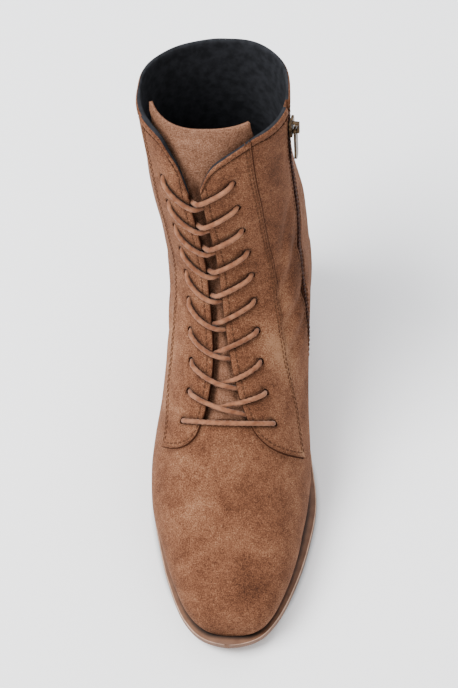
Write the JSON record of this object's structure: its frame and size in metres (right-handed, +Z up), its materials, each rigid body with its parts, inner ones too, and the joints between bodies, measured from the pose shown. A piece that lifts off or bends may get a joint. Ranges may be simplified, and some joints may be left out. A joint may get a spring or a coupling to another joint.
{
  "type": "block heel boot",
  "caption": "Suede lace-up ankle boot for the right foot, with an open collar, a laced throat, a side zip and a covered block heel.",
  "frame": {"origin": "middle of the heel lift's floor face", "axes": "toe towards -Y, heel towards +Y, inner side of the right foot towards +X, +Z up from the floor"},
  "size_m": [0.1002, 0.2656, 0.2261],
  "materials": {
    "suede": "napped, matte",
    "lace_cord": "matte round cord",
    "sole_rubber": "satin",
    "lift_rubber": "matte",
    "insole_board": "matte",
    "zip_tape": "matte",
    "zip_metal": "antique, darkened"
  },
  "bodies": {
    "boot": {"outsole": "sole_rubber", "heel_block": "suede", "heel_lift": "lift_rubber", "upper": "suede", "tongue": "suede", "insole": "insole_board", "lace_bar": "lace_cord", "lace_crossing_01": "lace_cord", "lace_crossing_02": "lace_cord", "lace_crossing_03": "lace_cord", "lace_crossing_04": "lace_cord", "lace_crossing_05": "lace_cord", "lace_crossing_06": "lace_cord", "lace_crossing_07": "lace_cord", "lace_crossing_08": "lace_cord", "lace_crossing_09": "lace_cord", "zip_teeth": "zip_tape", "zip_slider": "zip_metal"},
    "pull_tab": {"zip_pull": "zip_metal"}
  },
  "joints": [
    {"name": "pull_tab_swing", "type": "hinge", "parent": "boot", "child": "pull_tab", "pos_m": [0.02765, -0.0209, 0.20443], "axis": [-0.1465, -0.9743, 0.1711], "range_deg": [0, 150]}
  ]
}
